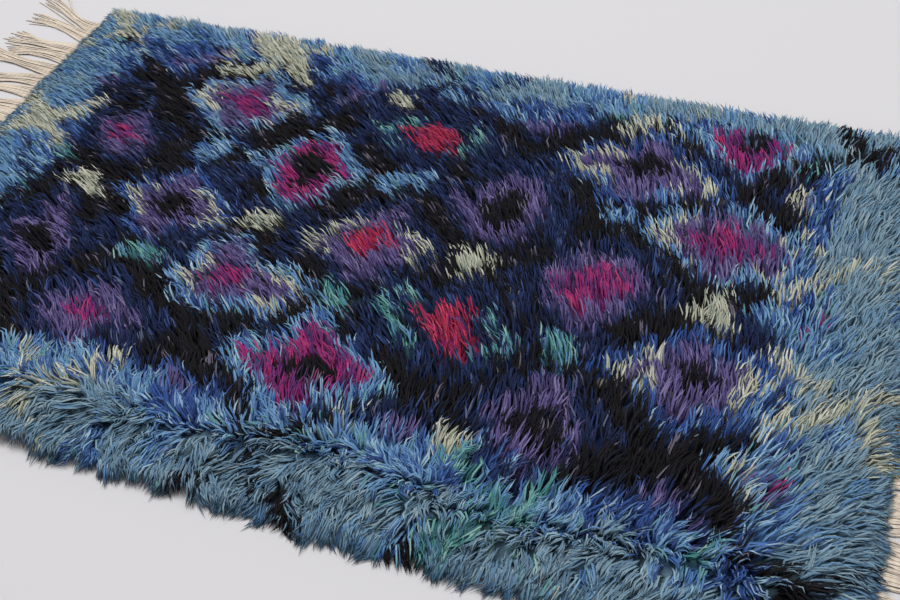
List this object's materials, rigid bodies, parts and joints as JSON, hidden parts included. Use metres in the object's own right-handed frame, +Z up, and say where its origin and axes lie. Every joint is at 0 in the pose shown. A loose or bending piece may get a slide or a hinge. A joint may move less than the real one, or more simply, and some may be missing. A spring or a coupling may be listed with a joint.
{
  "type": "rya rug",
  "caption": "Rectangular long-pile rya rug lying flat: wool pile knotted into a woven ground, shaggy sides, and a fringe of plied warp ends along each short end.",
  "frame": {"origin": "on the floor, under the middle of the whole rug with its fringes", "axes": "+X along the long side towards the right-hand fringe, +Y across the rug towards its back side, +Z up out of the pile"},
  "size_m": [2.4069, 1.2772, 0.0392],
  "materials": {
    "pile_wool": "matt wool pile in blended blues with purple, magenta, crimson, black and cream",
    "warp_yarn": "matt undyed plied yarn"
  },
  "bodies": {
    "root": {"pile_slab": "pile_wool", "fringe_left": "warp_yarn", "fringe_right": "warp_yarn"}
  },
  "joints": []
}
